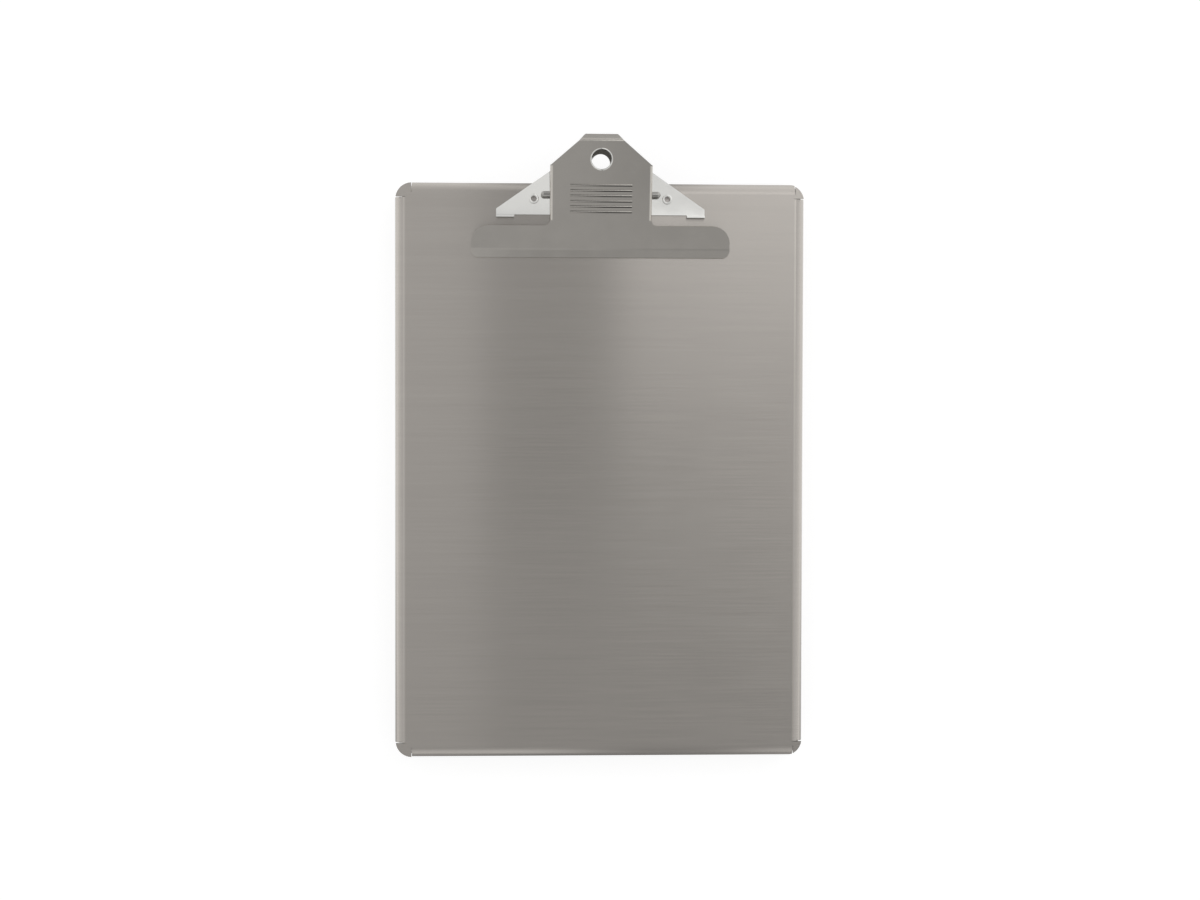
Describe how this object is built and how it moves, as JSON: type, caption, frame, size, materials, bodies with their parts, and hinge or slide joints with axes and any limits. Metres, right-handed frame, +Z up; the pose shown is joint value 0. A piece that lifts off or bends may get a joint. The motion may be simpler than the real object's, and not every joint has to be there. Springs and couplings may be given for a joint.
{
  "type": "storage clipboard box",
  "caption": "Sheet-metal document tray with a hinged brushed-steel writing-board lid, magnetic catches and a sprung butterfly clip with a hanging hole.",
  "frame": {"origin": "middle of the board's outline, on the tray's flat back", "axes": "+X to the right of the writing board, +Y along the board toward the clip, +Z up out of the writing face"},
  "size_m": [0.228, 0.3447, 0.0431],
  "materials": {
    "board_steel": "fine brushed stainless steel, grain across the board",
    "tray_steel": "brushed stainless steel",
    "hinge_steel": "plain rolled stainless steel",
    "pin_steel": "bright plated steel",
    "base_nickel": "bright nickel plate",
    "lever_nickel": "polished nickel plate",
    "spring_steel": "oiled spring wire",
    "magnet_grey": "matt ferrite",
    "silicone": "translucent soft silicone"
  },
  "bodies": {
    "tray": {"tray": "tray_steel", "tray_hinge_leaf": "hinge_steel", "hinge_pin": "pin_steel", "catch_bracket_upper": "hinge_steel", "catch_bracket_lower": "hinge_steel", "catch_magnet_upper": "magnet_grey", "catch_magnet_lower": "magnet_grey", "catch_rivets": "pin_steel", "tray_bumpers": "silicone"},
    "lid": {"lid": "board_steel", "lid_hinge_leaf": "hinge_steel", "clip_base_plate": "base_nickel", "clip_axle": "pin_steel", "clip_spring_left": "spring_steel", "clip_spring_right": "spring_steel", "clip_rivets": "base_nickel", "rivet_washers": "pin_steel", "keeper_plate_upper": "hinge_steel", "keeper_plate_lower": "hinge_steel"},
    "lever": {"clip_lever": "lever_nickel", "lever_eyelet": "base_nickel"}
  },
  "joints": [
    {"name": "lid_hinge", "type": "hinge", "parent": "tray", "child": "lid", "pos_m": [-0.1115, 0, 0.01], "axis": [0, -1, 0], "range_deg": [0, 125]},
    {"name": "lever_pivot", "type": "hinge", "parent": "lid", "child": "lever", "pos_m": [0, 0.1528, 0.0302], "axis": [-1, 0, 0], "range_deg": [0, 28], "stiffness_Nm_per_rad": 0.62, "springref_deg": -34.38, "deforming": ["clip_spring_left", "clip_spring_right"]}
  ]
}
